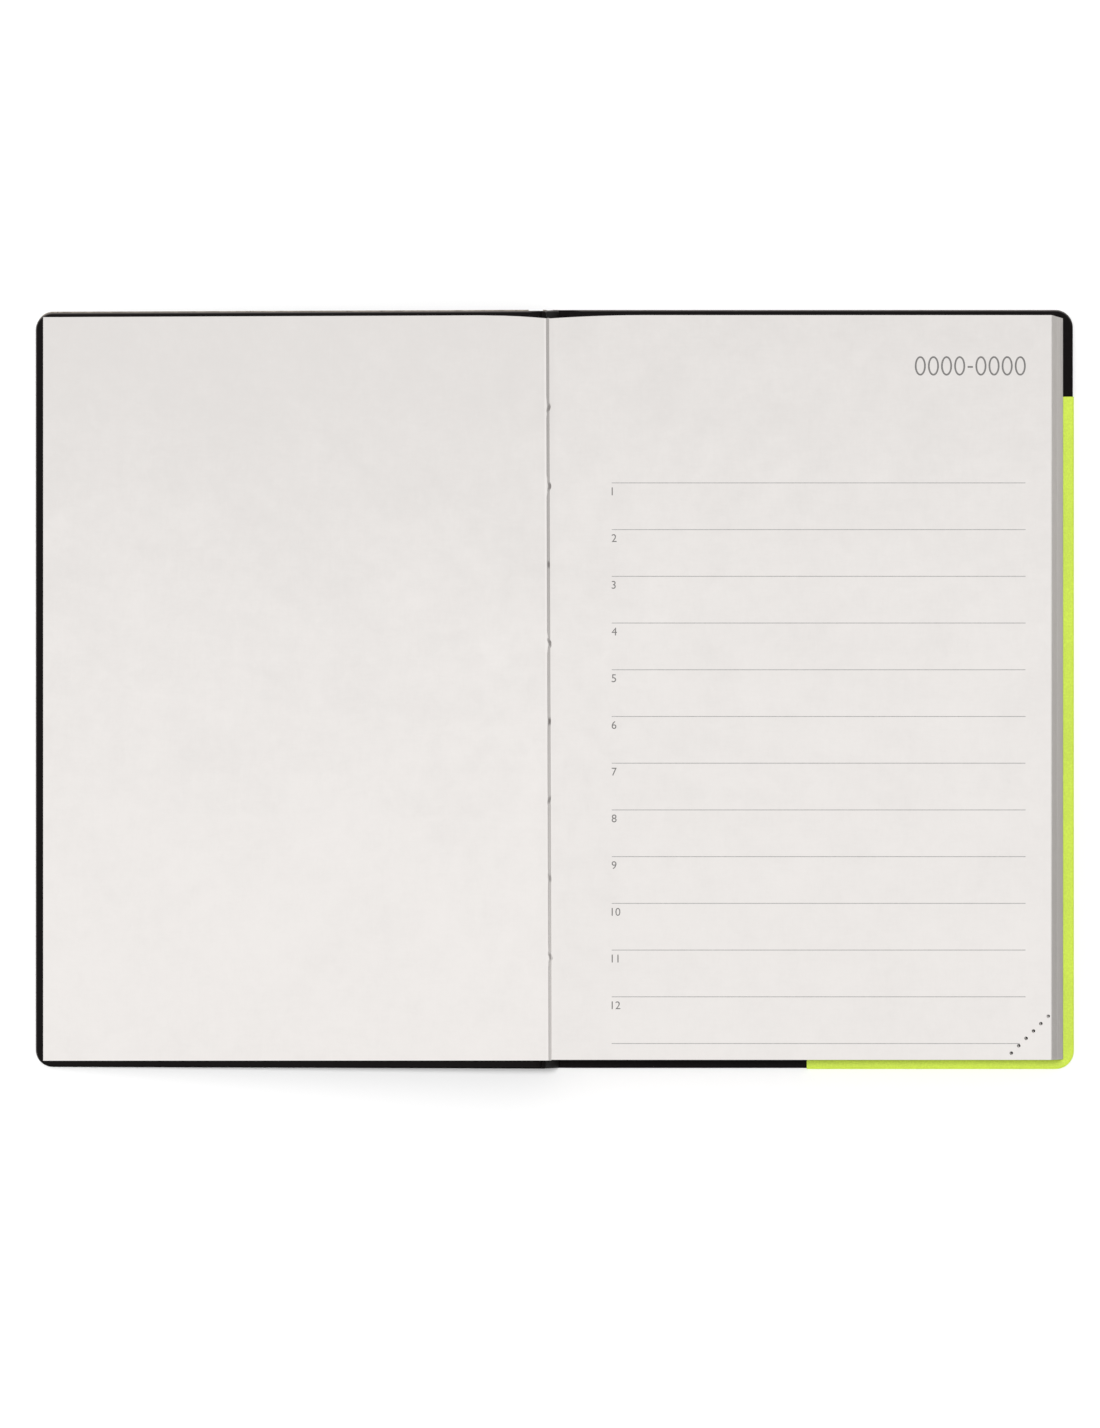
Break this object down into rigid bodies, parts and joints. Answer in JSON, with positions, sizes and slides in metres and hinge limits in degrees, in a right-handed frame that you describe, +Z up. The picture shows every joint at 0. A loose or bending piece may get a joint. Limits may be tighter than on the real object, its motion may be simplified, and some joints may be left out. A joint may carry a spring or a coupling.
{
  "type": "daily planner",
  "caption": "Soft-cover thread-sewn planner lying open at its title page, black cover with a lime colour block and a perforated tear-off page corner.",
  "frame": {"origin": "middle of the opened planner's footprint, on the table it lies on", "axes": "+X from the front cover towards the fore-edge of the book block, +Y towards the head of the pages, +Z up from the table"},
  "size_m": [0.253, 0.1844, 0.0192],
  "materials": {
    "page_paper": "ivory offset paper",
    "page_edges": "cut stack of ivory leaves",
    "black_skin": "fine-grained black leatherette, satin",
    "lime_skin": "fine-grained lime leatherette, satin",
    "grey_board": "grey board",
    "gauze": "open cotton gauze",
    "binding_glue": "dried binding adhesive",
    "sewing_thread": "white twisted thread"
  },
  "bodies": {
    "block": {"spine_skin": "black_skin", "spine_card": "grey_board", "spine_mull": "gauze", "spine_glue": "binding_glue", "thread_chain_1": "sewing_thread", "thread_chain_2": "sewing_thread", "thread_chain_3": "sewing_thread", "thread_chain_4": "sewing_thread", "thread_chain_5": "sewing_thread", "thread_chain_6": "sewing_thread", "thread_chain_7": "sewing_thread", "thread_chain_8": "sewing_thread", "signature_07": "page_edges", "signature_08": "page_edges", "signature_09": "page_edges", "signature_10": "page_edges", "signature_11": "page_edges", "signature_12": "page_edges"},
    "front_cover": {"front_cover_skin": "black_skin", "front_cover_board": "grey_board", "front_pastedown": "page_paper"},
    "back_cover": {"back_cover_skin": "black_skin", "back_lime_skin": "lime_skin", "back_cover_board": "grey_board", "back_pastedown": "page_paper"},
    "back_flyleaf": {"back_flyleaf": "page_paper"},
    "title_leaf": {"title_leaf": "page_paper"},
    "title_leaf_corner": {"title_leaf_corner": "page_paper"},
    "signature_01": {"signature_01": "page_edges"},
    "signature_02": {"signature_02": "page_edges"},
    "signature_03": {"signature_03": "page_edges"},
    "signature_04": {"signature_04": "page_edges"},
    "signature_05": {"signature_05": "page_edges"},
    "signature_06": {"signature_06": "page_edges"},
    "front_endpaper_fold": {"front_endpaper_fold": "page_paper"},
    "title_leaf_fold": {"title_leaf_fold": "page_paper"},
    "signature_01_fold": {"signature_01_fold": "page_edges"},
    "signature_02_fold": {"signature_02_fold": "page_edges"},
    "signature_03_fold": {"signature_03_fold": "page_edges"},
    "signature_04_fold": {"signature_04_fold": "page_edges"},
    "signature_05_fold": {"signature_05_fold": "page_edges"},
    "signature_06_fold": {"signature_06_fold": "page_edges"}
  },
  "joints": [
    {"name": "front_cover_hinge", "type": "hinge", "parent": "block", "child": "front_cover", "pos_m": [-0.00147, 0, 0.01933], "axis": [0, -1, 0], "range_deg": [-188.16, 0]},
    {"name": "front_endpaper_fold_bend", "type": "hinge", "parent": "front_cover", "child": "front_endpaper_fold", "pos_m": [-0.00147, 0, 0.01933], "axis": [0, -1, 0], "range_deg": [0, 179.8]},
    {"name": "back_cover_hinge", "type": "hinge", "parent": "block", "child": "back_cover", "pos_m": [0.00193, 0, 0.00133], "axis": [0, 1, 0], "range_deg": [0, 165]},
    {"name": "back_flyleaf_turn", "type": "hinge", "parent": "block", "child": "back_flyleaf", "pos_m": [0.00193, 0, 0.00133], "axis": [0, 1, 0], "range_deg": [0, 83]},
    {"name": "title_leaf_turn", "type": "hinge", "parent": "block", "child": "title_leaf", "pos_m": [-0.00147, 0, 0.01933], "axis": [0, -1, 0], "range_deg": [0, 187.76]},
    {"name": "signature_01_turn", "type": "hinge", "parent": "block", "child": "signature_01", "pos_m": [-0.00147, 0, 0.01933], "axis": [0, -1, 0], "range_deg": [0, 187.41]},
    {"name": "signature_02_turn", "type": "hinge", "parent": "block", "child": "signature_02", "pos_m": [-0.00147, 0, 0.01933], "axis": [0, -1, 0], "range_deg": [0, 187.06]},
    {"name": "signature_03_turn", "type": "hinge", "parent": "block", "child": "signature_03", "pos_m": [-0.00147, 0, 0.01933], "axis": [0, -1, 0], "range_deg": [0, 186.71]},
    {"name": "signature_04_turn", "type": "hinge", "parent": "block", "child": "signature_04", "pos_m": [-0.00147, 0, 0.01933], "axis": [0, -1, 0], "range_deg": [0, 186.36]},
    {"name": "signature_05_turn", "type": "hinge", "parent": "block", "child": "signature_05", "pos_m": [-0.00147, 0, 0.01933], "axis": [0, -1, 0], "range_deg": [0, 186.01]},
    {"name": "signature_06_turn", "type": "hinge", "parent": "block", "child": "signature_06", "pos_m": [-0.00147, 0, 0.01933], "axis": [0, -1, 0], "range_deg": [0, 185.66]},
    {"name": "title_leaf_fold_bend", "type": "hinge", "parent": "title_leaf", "child": "title_leaf_fold", "pos_m": [-0.00147, 0, 0.01933], "axis": [0, -1, 0], "range_deg": [-179.8, 0]},
    {"name": "signature_01_fold_bend", "type": "hinge", "parent": "signature_01", "child": "signature_01_fold", "pos_m": [-0.00147, 0, 0.01933], "axis": [0, -1, 0], "range_deg": [-179.8, 0]},
    {"name": "signature_02_fold_bend", "type": "hinge", "parent": "signature_02", "child": "signature_02_fold", "pos_m": [-0.00147, 0, 0.01933], "axis": [0, -1, 0], "range_deg": [-179.8, 0]},
    {"name": "signature_03_fold_bend", "type": "hinge", "parent": "signature_03", "child": "signature_03_fold", "pos_m": [-0.00147, 0, 0.01933], "axis": [0, -1, 0], "range_deg": [-179.8, 0]},
    {"name": "signature_04_fold_bend", "type": "hinge", "parent": "signature_04", "child": "signature_04_fold", "pos_m": [-0.00147, 0, 0.01933], "axis": [0, -1, 0], "range_deg": [-179.8, 0]},
    {"name": "signature_05_fold_bend", "type": "hinge", "parent": "signature_05", "child": "signature_05_fold", "pos_m": [-0.00147, 0, 0.01933], "axis": [0, -1, 0], "range_deg": [-179.8, 0]},
    {"name": "signature_06_fold_bend", "type": "hinge", "parent": "signature_06", "child": "signature_06_fold", "pos_m": [-0.00147, 0, 0.01933], "axis": [0, -1, 0], "range_deg": [-179.8, 0]},
    {"name": "tear_off_corner_fold", "type": "hinge", "parent": "title_leaf", "child": "title_leaf_corner", "pos_m": [0.10903, -0.09, 0.01916], "axis": [-0.7071, -0.7071, 0], "range_deg": [0, 180]}
  ],
  "couplings": [
    {"joint": "back_flyleaf_turn", "follows": "back_cover_hinge", "ratio": 0.5},
    {"joint": "front_endpaper_fold_bend", "follows": "front_cover_hinge", "ratio": -0.95555},
    {"joint": "title_leaf_turn", "follows": "signature_06_turn", "ratio": 1.0113},
    {"joint": "title_leaf_fold_bend", "follows": "signature_06_turn", "ratio": -0.96842},
    {"joint": "signature_01_turn", "follows": "signature_06_turn", "ratio": 1.0094},
    {"joint": "signature_01_fold_bend", "follows": "signature_06_turn", "ratio": -0.96842},
    {"joint": "signature_02_turn", "follows": "signature_06_turn", "ratio": 1.0075},
    {"joint": "signature_02_fold_bend", "follows": "signature_06_turn", "ratio": -0.96842},
    {"joint": "signature_03_turn", "follows": "signature_06_turn", "ratio": 1.0057},
    {"joint": "signature_03_fold_bend", "follows": "signature_06_turn", "ratio": -0.96842},
    {"joint": "signature_04_turn", "follows": "signature_06_turn", "ratio": 1.0038},
    {"joint": "signature_04_fold_bend", "follows": "signature_06_turn", "ratio": -0.96842},
    {"joint": "signature_05_turn", "follows": "signature_06_turn", "ratio": 1.0019},
    {"joint": "signature_05_fold_bend", "follows": "signature_06_turn", "ratio": -0.96842},
    {"joint": "signature_06_fold_bend", "follows": "signature_06_turn", "ratio": -0.96842}
  ]
}
